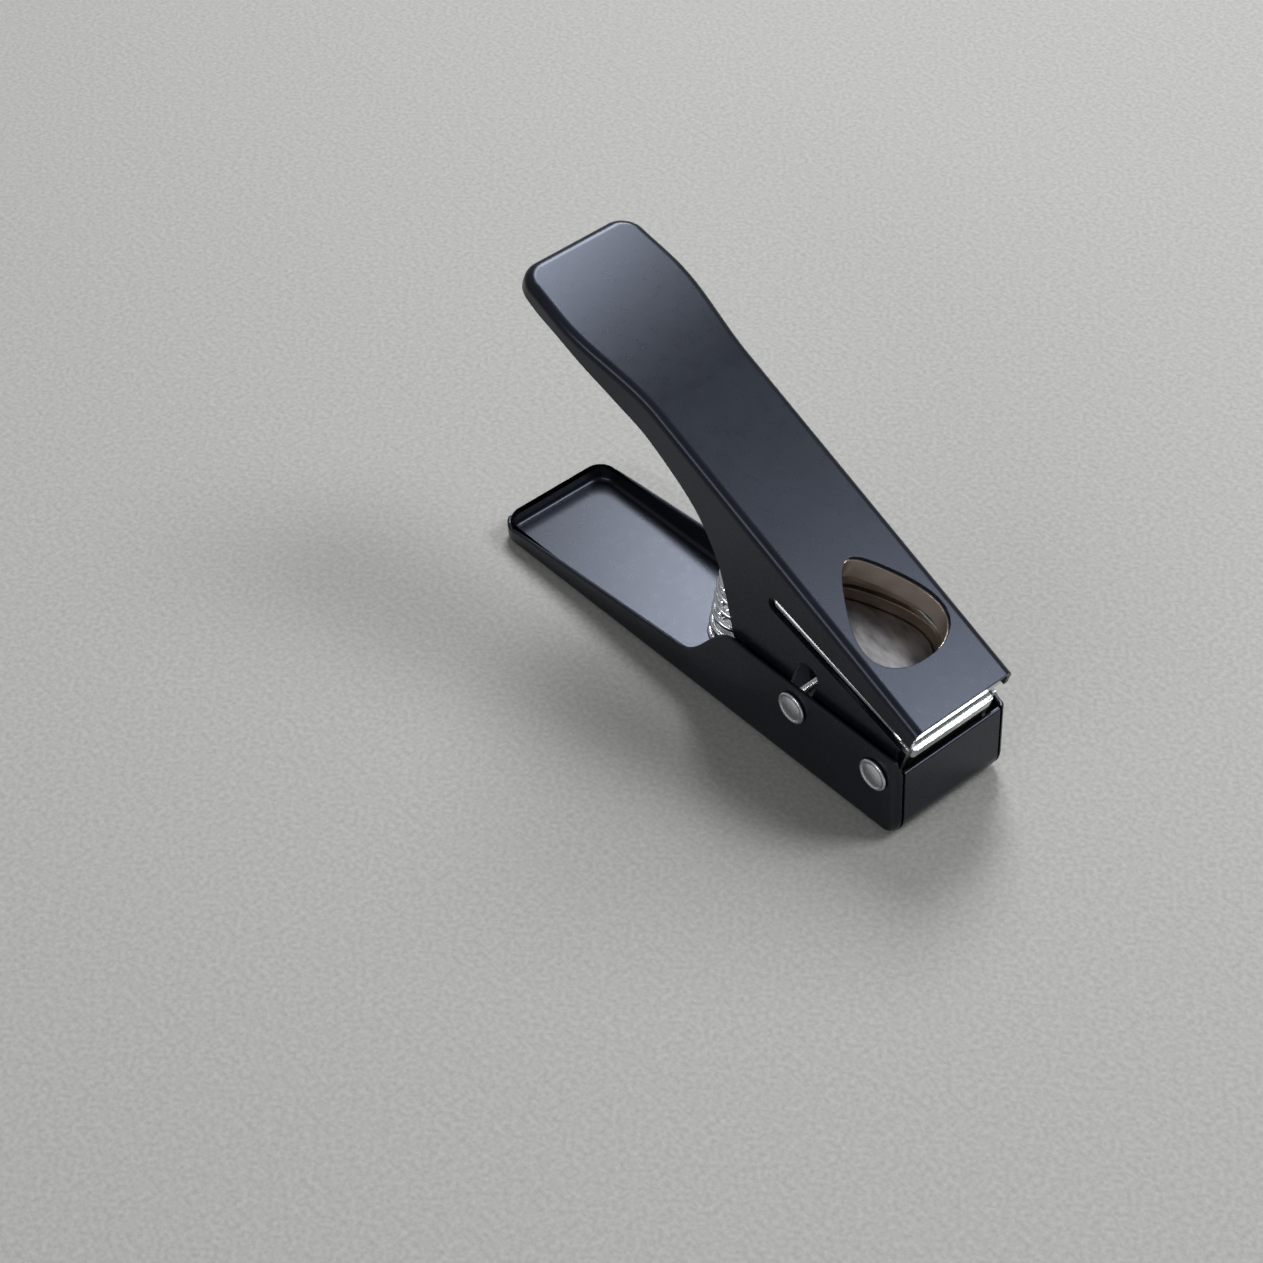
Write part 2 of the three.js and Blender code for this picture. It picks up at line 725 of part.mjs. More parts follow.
// Middle line of the spring: an arc from the base's floor to the underside of the lever's plate.
// The turns lie flat on the floor at the foot and tilt more and more to lie flat on the plate at the top.
function springPath() {
  const footHeight = sheet + fitGap + wireRadius;
  const foot = new THREE.Vector2(baseFront - springFootSetback, footHeight);
  const top = toPartFrame(leverX(springTopSetback), leverZ(footHeight));
  const chord = top.clone().sub(foot);
  const lean = Math.atan2(chord.x, chord.y);
  const bend = springBendDegrees * radians;
  const arcRadius = chord.length() / 2 / Math.sin(bend);
  return (share) => {
    const turn = bend * (share * 2 - 1);
    const along = arcRadius * (Math.sin(turn) + Math.sin(bend));
    const aside = arcRadius * (Math.cos(bend) - Math.cos(turn));
    return {
      x: foot.x + along * Math.sin(lean) + aside * Math.cos(lean),
      z: foot.y + along * Math.cos(lean) - aside * Math.sin(lean),
      tilt: leverAngle * share ** springTiltPower,
      length: arcRadius * bend * 2,
    };
  };
}

// Share of the spring's length reached after a number of turns, with closer turns at both ends.
function risenShare(turns, length) {
  const middlePitch = (length - endPitch * 2) / (springTurns - 2);
  const body = THREE.MathUtils.clamp(turns - 1, 0, springTurns - 2);
  const ends = Math.min(turns, 1) + Math.max(turns - springTurns + 1, 0);
  return (body * middlePitch + ends * endPitch) / length;
}

function coilPoint(path, turns) {
  const at = path(risenShare(turns, path(0).length));
  const angle = (springStartTurns - turns) * Math.PI * 2;
  const outward = new THREE.Vector3(
    Math.cos(angle) * Math.cos(at.tilt),
    Math.sin(angle),
    -Math.cos(angle) * Math.sin(at.tilt),
  );
  const centre = new THREE.Vector3(at.x, 0, at.z).addScaledVector(outward, springMeanRadius);
  return { centre, outward };
}

// Points round the wire at each step of each turn.
function coilRings() {
  const path = springPath();
  const rings = [];
  const total = springTurns * coilSteps;
  for (let i = 0; i <= total; i += 1) {
    const { centre, outward } = coilPoint(path, i / coilSteps);
    const before = coilPoint(path, Math.max(i - 1, 0) / coilSteps).centre;
    const after = coilPoint(path, Math.min(i + 1, total) / coilSteps).centre;
    const along = after.sub(before).normalize();
    const side = along.clone().cross(outward).normalize();
    const radial = side.clone().cross(along);
    const ring = [];
    for (let k = 0; k < wireSides; k += 1) {
      const angle = (Math.PI * 2 * k) / wireSides;
      const point = centre.clone().addScaledVector(radial, wireRadius * Math.cos(angle));
      ring.push(point.addScaledVector(side, wireRadius * Math.sin(angle)));
    }
    rings.push(ring);
  }
  return rings;
}

// Least distance between points of the wire that lie over half a turn apart.
function leastCoilGap(rings) {
  let least = Infinity;
  for (let i = 0; i < rings.length; i += 1) {
    for (let j = i + coilSteps / 2 + 1; j < rings.length; j += 1) {
      for (const p of rings[i]) {
        for (const q of rings[j]) {
          least = Math.min(least, p.distanceTo(q));
        }
      }
    }
  }
  return least;
}

function springCoil(rings) {
  const positions = rings.flat().flatMap((point) => point.toArray());
  const faces = [];
  for (let i = 0; i + 1 < rings.length; i += 1) {
    for (let k = 0; k < wireSides; k += 1) {
      const a = i * wireSides + k;
      const b = i * wireSides + ((k + 1) % wireSides);
      faces.push(a, b, b + wireSides, a, b + wireSides, a + wireSides);
    }
  }
  const last = (rings.length - 1) * wireSides;
  for (let k = 1; k + 1 < wireSides; k += 1) {
    faces.push(0, k + 1, k);
    faces.push(last, last + k, last + k + 1);
  }
  const geometry = new THREE.BufferGeometry();
  geometry.setAttribute("position", new THREE.BufferAttribute(new Float32Array(positions), 3));
  geometry.setIndex(faces);
  return toGeometry(solid(geometry));
}

// Materials

function finish(color, roughness, metalness) {
  return new THREE.MeshStandardMaterial({ color, roughness, metalness });
}

const blackPaint = () => finish(0x1d1f26, 0.45, 0.1);
const nickel = () => finish(0xc9bfb3, 0.2, 1);
const groundSteel = () => finish(0x9a9793, 0.4, 1);
const rivetMetal = () => finish(0xb4b8bd, 0.35, 1);
const springChrome = () => finish(0xd6d8da, 0.15, 1);
const screwSteel = () => finish(0x7d7f82, 0.4, 1);

function piece(name, geometry, material, place = [0, 0, 0]) {
  const mesh = new THREE.Mesh(geometry, material);
  mesh.name = name;
  mesh.position.set(...place);
  return mesh;
}

// Assembly

const sides = [["near", -1], ["far", 1]];
const part = new THREE.Group();

const lever = new THREE.Group();
lever.position.set(pivot.x, 0, pivot.y);
lever.rotation.y = leverAngle;
part.add(lever);

const dieSet = new THREE.Group();
dieSet.position.set(plateForward, 0, leverZ(gapDepth));
dieSet.rotation.y = -dieTilt;
lever.add(dieSet);

part.add(piece("base_shell", baseShell(), blackPaint()));
part.add(piece("pivot_rivet", rivet(), rivetMetal(), [pivot.x, 0, pivot.y]));
part.add(piece("drive_rivet", rivet(), rivetMetal(), [drive.x, 0, drive.y]));

lever.add(piece("lever_shell", leverShell(), blackPaint()));
lever.add(piece("pivot_sleeve", pivotSleeve(), screwSteel()));

dieSet.add(piece("upper_die", upperDie(), nickel()));
dieSet.add(piece("gap_spacer", gapSpacer(), nickel()));
dieSet.add(piece("guide_bracket", guideBracket(), nickel()));
dieSet.add(piece("punch_head", punchHead(), groundSteel()));
dieSet.add(piece("punch_carrier", punchCarrier(), screwSteel()));

for (const [end, x] of [["front", -punchScrewFront], ["rear", -punchScrewRear]]) {
  const length = punchFoot + punchScrewGrip - carrierBottom + fitGap;
  const geometry = screw(punchScrewRadius, length, punchScrewHeadRadius, punchScrewHeadHeight);
  dieSet.add(piece(`punch_screw_${end}`, geometry, screwSteel(), [x, 0, carrierBottom - fitGap]));
}

for (const [side, sign] of sides) {
  const [x, y] = [-dieScrewSetback, sign * dieScrewSpread];
  const screwLength = dieScrewGrip - guideUnderside + fitGap;
  const dieScrew = screw(dieScrewRadius, screwLength, dieScrewHeadRadius, dieScrewHeadHeight);
  dieSet.add(piece(`die_screw_${side}`, dieScrew, screwSteel(), [x, y, guideUnderside - fitGap]));
}

const coil = coilRings();
const topStud = [leverX(springTopSetback), 0, leverZ(sheet + fitGap + studHeight)];
const footStud = [baseFront - springFootSetback, 0, sheet + fitGap];
lever.add(piece("spring_top_stud", stud(), screwSteel(), topStud));
part.add(piece("spring_foot_stud", stud(), screwSteel(), footStud));
part.add(piece("return_spring", springCoil(coil), springChrome()));
console.log(`least gap between the turns of the spring: ${leastCoilGap(coil).toFixed(2)} mm`);

export default part;
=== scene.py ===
# Looks of the guitar pick punch: camera, light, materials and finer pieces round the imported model.
# The model's own frame: +X to the die end, -Y the near side, +Z up. Sizes are in millimetres here
# and turn into metres when a piece is finished.
import json
import math

import bmesh
import bpy
from mathutils import Matrix, Vector

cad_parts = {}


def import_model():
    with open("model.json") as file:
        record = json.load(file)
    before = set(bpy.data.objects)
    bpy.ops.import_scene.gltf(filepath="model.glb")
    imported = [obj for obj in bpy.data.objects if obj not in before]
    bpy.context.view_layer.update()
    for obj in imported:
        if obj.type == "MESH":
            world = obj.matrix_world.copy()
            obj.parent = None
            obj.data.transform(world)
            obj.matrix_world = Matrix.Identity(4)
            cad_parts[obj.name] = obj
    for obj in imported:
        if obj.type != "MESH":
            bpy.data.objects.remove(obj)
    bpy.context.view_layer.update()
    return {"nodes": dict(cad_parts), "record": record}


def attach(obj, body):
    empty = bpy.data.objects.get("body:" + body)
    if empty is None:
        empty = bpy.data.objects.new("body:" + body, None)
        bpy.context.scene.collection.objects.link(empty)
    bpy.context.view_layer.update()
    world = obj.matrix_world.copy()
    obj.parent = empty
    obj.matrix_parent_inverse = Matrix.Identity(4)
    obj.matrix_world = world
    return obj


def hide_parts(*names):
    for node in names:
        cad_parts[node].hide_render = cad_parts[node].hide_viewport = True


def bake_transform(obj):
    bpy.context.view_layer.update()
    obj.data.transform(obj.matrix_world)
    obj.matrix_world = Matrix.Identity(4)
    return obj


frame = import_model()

MM = 0.001
OVERRUN = 5.0
QUARTER = math.pi / 2

# Where the base's paint turns matt: along the floor, above it, and out to the tall walls
CHANNEL_START = (4.0, 10.0)
CHANNEL_HEIGHTS = (2.0, 4.0)
CHANNEL_HALF = (16.6, 16.8)

# Where the looks of the bright plate change: the bore's front and half width, and the depths below
# the lever's plate between which its wall turns a darker brown, painted shade deep in the bore
BORE_FRONT = (69.0, 71.0)
BORE_HALF = (13.0, 13.2)
BORE_SHADE_DEPTHS = (8.3, 9.6)

# The guide's bevelled edge: depths under the gap's ceiling, and places along it, between which
# painted shade darkens it, and places between which it is bright again at its front end
BEVEL_DEPTHS = (2.2, 2.5)
BEVEL_FADE = (58.0, 65.0)
BEVEL_FRONT = (68.8, 70.2)

# Depths under the gap's ceiling between which painted shade darkens the guide's outside, and how far that
# fades
SKIRT_DEPTHS = (4.9, 5.2)
OUTSIDE_FADE = 0.2

# How round the shading makes the pieces' edges
PAINT_ROUNDING = 0.3
PLATE_ROUNDING = 0.35
STEEL_ROUNDING = 0.15

# Colours, the darker patches first
PAINT = ((0.0035, 0.004, 0.0055), (0.006, 0.007, 0.01))
PAINT_SHEEN = (0.7, 0.78, 1.0, 1)
PAINT_SPECULAR = 0.38
TAN = ((0.57, 0.48, 0.41), (0.76, 0.66, 0.58))
# The bore's darker brown low down is painted shade
SHADED_BROWN = ((0.22, 0.16, 0.115), (0.34, 0.265, 0.21))
BRIGHT = (0.6, 0.63, 0.62)
# Near black: painted shade on the guide's outside and bevel, seen through the slots
SLOT_SHADE = (0.03, 0.03, 0.032)
PUNCH_FACE = ((0.15, 0.147, 0.152), (0.265, 0.26, 0.268))
RIVET = ((0.6, 0.635, 0.66), (0.7, 0.73, 0.75))
WIRE = ((0.8, 0.81, 0.83), (0.88, 0.89, 0.91))
# Near black steel: painted shade on the inner steel pieces seen through the slots
SHADED_STEEL = ((0.045, 0.045, 0.047), (0.075, 0.075, 0.077))

# Stage, in metres and watts. Each light has its name, place, size, power and colour
FLOOR_HALF = 3.0
FLOOR_COLOR = (0.3, 0.295, 0.279)
FLOOR_CONTRAST = 0.12
WORLD_COLOR = (0.92, 0.96, 1.0, 1)
WORLD_STRENGTH = 0.27
LIGHT_TARGET = (0, 0, 0.03)
LIGHTS = [
    ("back_left", (-0.5, 0.56, 1.01), (0.38, 0.75), 16, (0.95, 0.97, 1.0)),
    ("back_right", (0.66, 0.7, 1.1), (0.46, 0.55), 13, (0.96, 0.98, 1.0)),
    ("front", (0.25, -1.2, 0.75), (1.1, 0.1), 5, (1.0, 1.0, 1.0)),
]

# Camera, in metres and degrees, found by fitting straight edges of the base and lever in the
# photograph
CAMERA_PLACE = (0.41146, -0.36445, 0.53299)
CAMERA_RIGHT = (0.62528, 0.78040, 0.0)
CAMERA_UP = (-0.53977, 0.43248, 0.72224)
CAMERA_BACK = (0.56363, -0.45160, 0.69166)
CAMERA_ROLL = -2.958
LENS = 86.53
SENSOR = 36.0
CLIP_START = 0.01

# Sheet metal
SHEET = 1.2
BEND_RADIUS = 2.5
FIT_GAP = 0.3

# Base
BASE_FRONT = 74.4
BASE_HALF = 18.0
WALL_HEIGHT = 26.2
CREST_RISE = 0.3
CREST_LENGTH = 8.0
END_WALL_HEIGHT = 22.2
TRAY_LENGTH = 71.9
TRAY_END_HEIGHT = 5.2
TRAY_RIM_HEIGHT = 10.6
STEP_LENGTH = 19.5
TRAY_CORNER = 6.0
CORNER_EAR_RISE = 0.45
CORNER_EAR_START = 0.25
CORNER_EAR_SPAN = 0.5
CORNER_EAR_FLANK = 0.6
CORNER_DIP_DROP = 0.5
CORNER_DIP_WIDTH = 0.09
CORNER_DIP_PLACES = (0.12, 0.88)
FRONT_CORNER = 2.1
FRONT_BEND = 6.6
NEAR_FALL = (0.95, 0.0)
FAR_FALL = (6.0, 2.4)
SEAM_OFFSET = 16.0
SEAM_WIDTH = 0.8
SEAM_FOOT = 3.0
RIM_RADIUS = 0.5

# Shares of the wall's columns that lie before its crest's end and before its step
CREST_SHARE = 0.12
STEP_SHARE = 0.85

# Cross rivets, with the head's side view as radius and height
PIN_RADIUS = 3.0
HOLE_RADIUS = PIN_RADIUS + FIT_GAP
PIVOT = (66.7, 18.1)
DRIVE = (38.9, 19.6)
RIVET_SEAT = BASE_HALF + FIT_GAP
RIVET_PROFILE = [
    (3.0, 0.0), (4.1, 0.0), (4.25, 0.08), (4.3, 0.25), (4.28, 0.42), (4.2, 0.56), (4.05, 0.66),
    (3.85, 0.7), (3.65, 0.67), (3.5, 0.58), (3.38, 0.5), (3.22, 0.47), (3.0, 0.53), (2.6, 0.66),
    (2.1, 0.78), (1.5, 0.88), (0.8, 0.95), (0.0, 0.97),
]

# Lever, in its own frame: origin on the pivot, X forward along the plate, Z square to it
LEVER_ANGLE = math.radians(25.34)
TRAVEL = math.radians(23)
PLATE_FORWARD = 1.95
NOSE_SETBACK = 0.4
PLATE_RISE = 21.7
LEVER_LENGTH = 148.0
LEVER_HALF = 15.92
PADDLE_START = 98.0
PADDLE_PEAK = 128.0
PADDLE_END = 144.0
PADDLE_GAIN = 2.95
PADDLE_LOSS = 0.95
PADDLE_DROOP = 5.2
DROOP_POWER = 1.4
PADDLE_CORNER = 6.5
PADDLE_TRIM = 0.01
PADDLE_TRIM_SHARE = 0.3
FLANGE_DEPTH = 38.0
HEEL_DEPTH = 38.5
HEEL_FRONT = 25.0
HEEL_REAR = 45.0
EAR_RADIUS = 4.7
FLANGE_EDGE_SHARES = [
    (1.01, 0.237), (0.939, 0.247), (0.865, 0.203), (0.777, 0.229), (0.716, 0.255), (0.642, 0.261),
    (0.561, 0.305), (0.507, 0.368), (0.459, 0.479), (0.426, 0.584), (0.387, 0.766), (0.345, 0.975),
]
STRIP_FRONT = 7.3
STRIP_REAR = 12.7
STRIP_LENGTH = 46.6
STRIP_FRONT_HEIGHT = 3.4
STRIP_REAR_HEIGHT = 4.4
ARC_CLEARANCE = 0.5
WINDOW_SETBACK = 13.9
WINDOW_LENGTH = 29.9
WINDOW_WIDTH = 25.1
PICK_SHARES = (0.2268, 0.401, 1.0)

# Die set's own frame: its tilt against the lever, its angle to the table and its origin
DIE_TILT = math.radians(7.6)
DIE_ANGLE = LEVER_ANGLE - DIE_TILT
DIE_ORIGIN = (75.22, 31.55)

# Return spring
SPRING_FOOT_SETBACK = 76.7
SPRING_TOP_SETBACK = 71.0
SPRING_RADIUS = 6.2
WIRE_RADIUS = 0.8
SPRING_TURNS = 15
SPRING_START_TURNS = 0.46
END_PITCH = 2.6
SPRING_BEND = math.radians(1.5)
SPRING_TILT_POWER = 0.6

# Steps of the finer curves, the lengths under which points join and thin faces go, and the digits
# by which the heights of two bends are told apart
BEND_STEPS = 10
CORNER_STEPS = 14
EDGE_STEPS = 9
PADDLE_STEPS = 44
PICK_STEPS = 200
WALL_STEPS = 60
RIM_STEPS = 6
ROUND_STEPS = 72
FLANGE_STEPS = 10
EAR_STEPS = 24
STRIP_STEPS = 20
ARC_STEPS = 24
COIL_STEPS = 36
WIRE_SIDES = 16
SHARP_ANGLE = math.radians(32)
WELD = 0.004
THIN = 0.002
RISE_DIGITS = 6


# Materials

class Nodes:
    """A material's node tree, with short calls that add a node and link it."""

    NOISE_RANGE = (0.3, 0.7)
    BEVEL_SAMPLES = 6

    def __init__(self, name, color, roughness, metallic=0):
        self.material = bpy.data.materials.new(name)
        self.material.use_nodes = True
        self.tree = self.material.node_tree
        self.shader = self.tree.nodes["Principled BSDF"]
        self.shader.inputs["Base Color"].default_value = (*color, 1)
        self.shader.inputs["Roughness"].default_value = roughness
        self.shader.inputs["Metallic"].default_value = metallic
        self.place = self.add("ShaderNodeTexCoord").outputs["Object"]

    def add(self, kind, **settings):
        node = self.tree.nodes.new(kind)
        for key, value in settings.items():
            setattr(node, key, value)
        return node

    def link(self, source, target):
        self.tree.links.new(source, target)

    def stretched(self, scale):
        mapping = self.add("ShaderNodeMapping")
        mapping.inputs["Scale"].default_value = scale
        self.link(self.place, mapping.inputs["Vector"])
        return mapping.outputs["Vector"]

    def noise(self, scale, detail=2.0, stretch=None):
        node = self.add("ShaderNodeTexNoise")
        node.inputs["Scale"].default_value = scale
        node.inputs["Detail"].default_value = detail
        self.link(self.stretched(stretch) if stretch else self.place, node.inputs["Vector"])
        return node.outputs["Fac"]

    def spread(self, value, low, high, between=NOISE_RANGE):
        """Turns a value that runs between two values into one from low to high."""
        node = self.add("ShaderNodeMapRange")
        node.inputs["From Min"].default_value = between[0]
        node.inputs["From Max"].default_value = between[1]
        node.inputs["To Min"].default_value = low
        node.inputs["To Max"].default_value = high
        self.link(value, node.inputs["Value"])
        return node.outputs["Result"]

    def axis(self, name, vector=None):
        node = self.add("ShaderNodeSeparateXYZ")
        self.link(self.place if vector is None else vector, node.inputs["Vector"])
        return node.outputs[name]

    def along(self, direction):
        node = self.add("ShaderNodeVectorMath", operation="DOT_PRODUCT")
        self.link(self.place, node.inputs[0])
        node.inputs[1].default_value = direction
        return node.outputs["Value"]

    def math(self, operation, first, second=None):
        node = self.add("ShaderNodeMath", operation=operation)
        self.link(first, node.inputs[0])
        if second is not None:
            self.link(second, node.inputs[1])
        return node.outputs[0]

    def color(self, share, first, second):
        node = self.add("ShaderNodeMix", data_type="RGBA")
        for name, value in (("A", first), ("B", second)):
            if isinstance(value, tuple):
                node.inputs[name].default_value = (*value, 1)
            else:
                self.link(value, node.inputs[name])
        self.link(share, node.inputs["Factor"])
        self.link(node.outputs["Result"], self.shader.inputs["Base Color"])
        return node.outputs["Result"]

    def patches(self, colors, scale, detail, stretch=None, between=NOISE_RANGE):
        """Colours the piece in cloudy patches of two colours."""
        return self.color(self.spread(self.noise(scale, detail, stretch), 0, 1, between), *colors)

    def roughness(self, value):
        self.link(value, self.shader.inputs["Roughness"])

    def uneven_roughness(self, low, high, scale, detail, stretch=None):
        self.roughness(self.spread(self.noise(scale, detail, stretch), low, high))

    def rounded(self, radius):
        node = self.add("ShaderNodeBevel", samples=self.BEVEL_SAMPLES)
        node.inputs["Radius"].default_value = radius
        return node.outputs["Normal"]

    def bump(self, height, distance, strength, normal=None):
        node = self.add("ShaderNodeBump")
        node.inputs["Distance"].default_value = distance
        node.inputs["Strength"].default_value = strength
        self.link(height, node.inputs["Height"])
        if normal is not None:
            self.link(normal, node.inputs["Normal"])
        self.link(node.outputs["Normal"], self.shader.inputs["Normal"])


def metres(pair):
    return tuple(value * MM for value in pair)


def heights_under(top, depths):
    """The lower and upper height at two depths under a top, the shallower depth given first."""
    shallow, deep = depths
    return top - deep * MM, top - shallow * MM


def black_paint():
    """Satin black paint with a blue-grey sheen that fades on the floor between the tall walls."""
    nodes = Nodes("black_paint", color=(0.005, 0.0055, 0.008), roughness=0.3)
    nodes.shader.inputs["Specular IOR Level"].default_value = PAINT_SPECULAR
    nodes.shader.inputs["Specular Tint"].default_value = PAINT_SHEEN
    nodes.patches(PAINT, scale=90, detail=4)
    grain = nodes.spread(nodes.noise(scale=400, detail=2), low=0.27, high=0.29)
    ahead = nodes.spread(nodes.axis("X"), 0, 1, metres(CHANNEL_START))
    floor = nodes.spread(nodes.axis("Z"), 1, 0, metres(CHANNEL_HEIGHTS))
    inside = nodes.spread(nodes.math("ABSOLUTE", nodes.axis("Y")), 1, 0, metres(CHANNEL_HALF))
    hidden = nodes.math("MULTIPLY", nodes.math("MULTIPLY", ahead, floor), inside)
    nodes.roughness(nodes.math("MAXIMUM", grain, hidden))
    nodes.link(nodes.rounded(PAINT_ROUNDING * MM), nodes.shader.inputs["Normal"])
    return nodes.material


def nickel_plate():
    """Bright plate that is tanned in the bore, painted a darker brown low in it as shade, and painted near
    black as shade on the skirt's outside and parts of the guide's bevel.
    """
    nodes = Nodes("nickel_plate", color=(0.6, 0.6, 0.58), roughness=0.2, metallic=0.8)
    blotch = nodes.spread(nodes.noise(scale=160, detail=4), 0, 1)
    tan = nodes.color(blotch, *TAN)
    shaded_brown = nodes.color(blotch, *SHADED_BROWN)
    plate_height = nodes.along((math.sin(LEVER_ANGLE), 0, math.cos(LEVER_ANGLE)))
    pivot_height = (PIVOT[0] * math.sin(LEVER_ANGLE) + PIVOT[1] * math.cos(LEVER_ANGLE) + PLATE_RISE) * MM
    # Painted shade: below these depths the bore's wall turns a darker brown
    low = nodes.spread(plate_height, 1, 0, heights_under(pivot_height, BORE_SHADE_DEPTHS))
    bore = nodes.color(low, tan, shaded_brown)
    front = nodes.spread(nodes.axis("X"), 0, 1, metres(BORE_FRONT))
    side = nodes.spread(nodes.math("ABSOLUTE", nodes.axis("Y")), 0, 1, metres(BORE_HALF))
    bright = nodes.color(nodes.math("MAXIMUM", front, side), bore, BRIGHT)
    normal = nodes.add("ShaderNodeNewGeometry").outputs["Normal"]
    outward = nodes.math("MULTIPLY", nodes.axis("Y"), nodes.axis("Y", normal))
    die_height = nodes.along((math.sin(DIE_ANGLE), 0, math.cos(DIE_ANGLE)))
    origin_height = (DIE_ORIGIN[0] * math.sin(DIE_ANGLE) + DIE_ORIGIN[1] * math.cos(DIE_ANGLE)) * MM
    below = nodes.spread(die_height, 1, 0, heights_under(origin_height, SKIRT_DEPTHS))
    edge = nodes.spread(die_height, 1, 0, heights_under(origin_height, BEVEL_DEPTHS))
    fading = nodes.spread(nodes.axis("X"), 0, 1, metres(BEVEL_FADE))
    behind = nodes.spread(nodes.axis("X"), 1, 0, metres(BEVEL_FRONT))
    bevel_shade = nodes.math("MULTIPLY", nodes.math("MAXIMUM", edge, fading), nodes.math("MULTIPLY", side, behind))
    outer = nodes.spread(outward, 0, 1, (0, OUTSIDE_FADE * MM))
    # Painted shade: the skirt's outside and parts of the guide's bevel turn near black
    painted_shade = nodes.math("MULTIPLY", nodes.math("MAXIMUM", below, bevel_shade), outer)
    nodes.color(painted_shade, bright, SLOT_SHADE)
    nodes.uneven_roughness(low=0.17, high=0.27, scale=900, detail=4)
    grain = nodes.noise(scale=2600, detail=2, stretch=(1, 1, 6))
    nodes.bump(grain, distance=0.004 * MM, strength=0.3, normal=nodes.rounded(PLATE_ROUNDING * MM))
    return nodes.material


def ground_steel():
    """Ground punch face, with streaks across it and stained patches."""
    nodes = Nodes("ground_steel", color=(0.21, 0.207, 0.212), roughness=0.42, metallic=0.9)
    nodes.patches(PUNCH_FACE, scale=170, detail=5, stretch=(1, 2.5, 1), between=(0.35, 0.6))
    nodes.uneven_roughness(low=0.37, high=0.47, scale=1800, detail=4, stretch=(1, 12, 1))
    grain = nodes.noise(scale=3000, detail=3, stretch=(1, 14, 1))
    nodes.bump(grain, distance=0.008 * MM, strength=0.4, normal=nodes.rounded(PLATE_ROUNDING * MM))
    return nodes.material


def rivet_metal():
    nodes = Nodes("rivet_metal", color=(0.66, 0.69, 0.71), roughness=0.24, metallic=1)
    nodes.patches(RIVET, scale=300, detail=3)
    nodes.uneven_roughness(low=0.22, high=0.26, scale=400, detail=2)
    return nodes.material


def spring_wire():
    nodes = Nodes("spring_wire", color=(0.84, 0.85, 0.87), roughness=0.24, metallic=1)
    nodes.patches(WIRE, scale=300, detail=2)
    nodes.uneven_roughness(low=0.22, high=0.27, scale=400, detail=2)
    return nodes.material


def plain_steel():
    # Kept near black, as painted shade on the inner pieces seen through the slots
    nodes = Nodes("plain_steel", color=(0.06, 0.06, 0.06), roughness=0.42, metallic=1)
    nodes.patches(SHADED_STEEL, scale=500, detail=4)
    nodes.uneven_roughness(low=0.34, high=0.5, scale=1200, detail=4)
    grain = nodes.noise(scale=2600, detail=3)
    nodes.bump(grain, distance=0.01 * MM, strength=0.4, normal=nodes.rounded(STEEL_ROUNDING * MM))
    return nodes.material


MATERIALS = {
    "black_paint": black_paint(),
    "nickel_plate": nickel_plate(),
    "ground_steel": ground_steel(),
    "rivet_metal": rivet_metal(),
    "spring_wire": spring_wire(),
    "plain_steel": plain_steel(),
}


def dress(obj, slot):
    obj.data.materials.clear()
    obj.data.materials.append(MATERIALS[slot])


for row in frame["record"]["subparts"]:
    dress(frame["nodes"][row["node"]], row["material_slot"])


# Meshes

def mesh_object(name, points, faces):
    mesh = bpy.data.meshes.new(name)
    mesh.from_pydata([tuple(point) for point in points], [], faces)
    obj = bpy.data.objects.new(name, mesh)
    bpy.context.scene.collection.objects.link(obj)
    turn_outwards(obj)
    return obj


def turn_outwards(obj):
    work = bmesh.new()
    work.from_mesh(obj.data)
    bmesh.ops.recalc_face_normals(work, faces=work.faces)
    work.to_mesh(obj.data)
    work.free()


def strip_faces(rows, count):
    """Quads between neighbouring rows of points, each row being a ring."""
    faces = []
    for r in range(rows - 1):
        for i in range(count):
            j = (i + 1) % count
            faces.append((r * count + i, r * count + j, (r + 1) * count + j, (r + 1) * count + i))
    return faces


def mirror_cap(count, start):
    """Quads that close a ring whose second half mirrors its first."""
    faces = []
    for i in range(count // 2 - 1):
        mirror = count - 1 - i
        faces.append((start + i, start + i + 1, start + mirror - 1, start + mirror))
    return faces


def ring_solid(name, rings):
    count = len(rings[0])
    points = [point for ring in rings for point in ring]
    faces = strip_faces(len(rings), count)
    faces += mirror_cap(count, 0) + mirror_cap(count, (len(rings) - 1) * count)
    return mesh_object(name, points, faces)


def prism(name, outline, low, high, axis="Y"):
    """An outline run along Y, where it is drawn in X and Z, or along Z, where it is in X and Y."""
    place = {
        "Y": lambda a, b, c: (a, c, b),
        "Z": lambda a, b, c: (a, b, c),
    }[axis]
    count = len(outline)
    points = [place(a, b, c) for c in (low, high) for a, b in outline]
    faces = strip_faces(2, count) + [tuple(range(count)), tuple(range(count, count * 2))]
    return mesh_object(name, points, faces)


def carve(obj, cutter, operation="DIFFERENCE"):
    modifier = obj.modifiers.new("carve", "BOOLEAN")
    modifier.object = cutter
    modifier.operation = operation
    modifier.solver = "EXACT"
    bake(obj)
    bpy.data.objects.remove(cutter)


def bake(obj):
    """Puts what the modifiers make into the mesh itself."""
    graph = bpy.context.evaluated_depsgraph_get()
    mesh = bpy.data.meshes.new_from_object(obj.evaluated_get(graph))
    obj.modifiers.clear()
    obj.data = mesh


